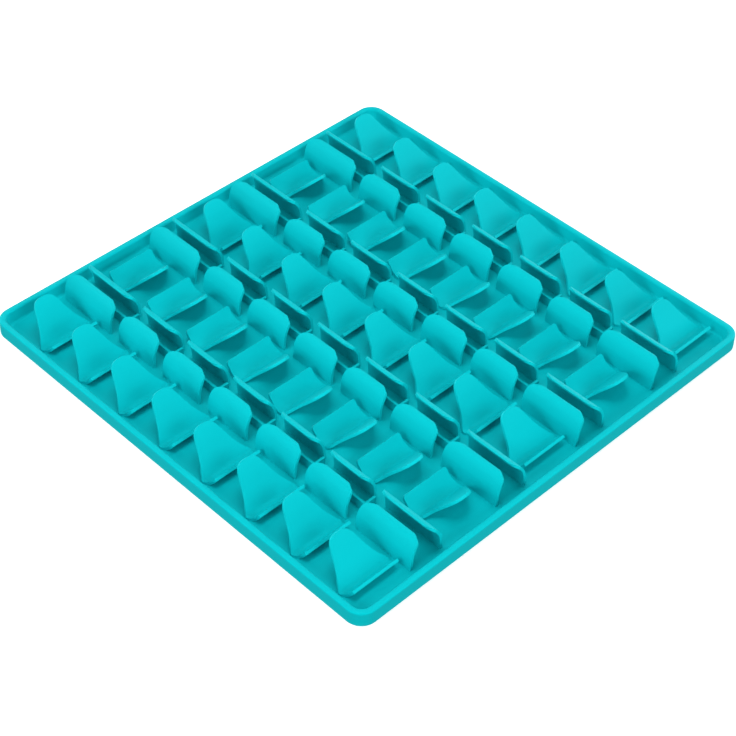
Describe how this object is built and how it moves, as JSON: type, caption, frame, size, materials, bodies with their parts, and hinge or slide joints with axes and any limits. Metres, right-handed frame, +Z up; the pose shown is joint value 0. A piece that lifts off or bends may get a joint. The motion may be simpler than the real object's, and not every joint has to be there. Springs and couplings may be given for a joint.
{
  "type": "lick mat",
  "caption": "Square silicone lick mat: a shallow rimmed tray with lanes of raised tongue and spoon flaps, and channels between curled leaves that hold soft pet food.",
  "frame": {"origin": "middle of the flat underside", "axes": "+Z up out of the tray; lanes and channels run along X, the tongues lean to -X and the spoons to +X"},
  "size_m": [0.25, 0.25, 0.017],
  "materials": {
    "silicone": "satin moulded silicone"
  },
  "bodies": {
    "root": {"mat": "silicone"}
  },
  "joints": []
}
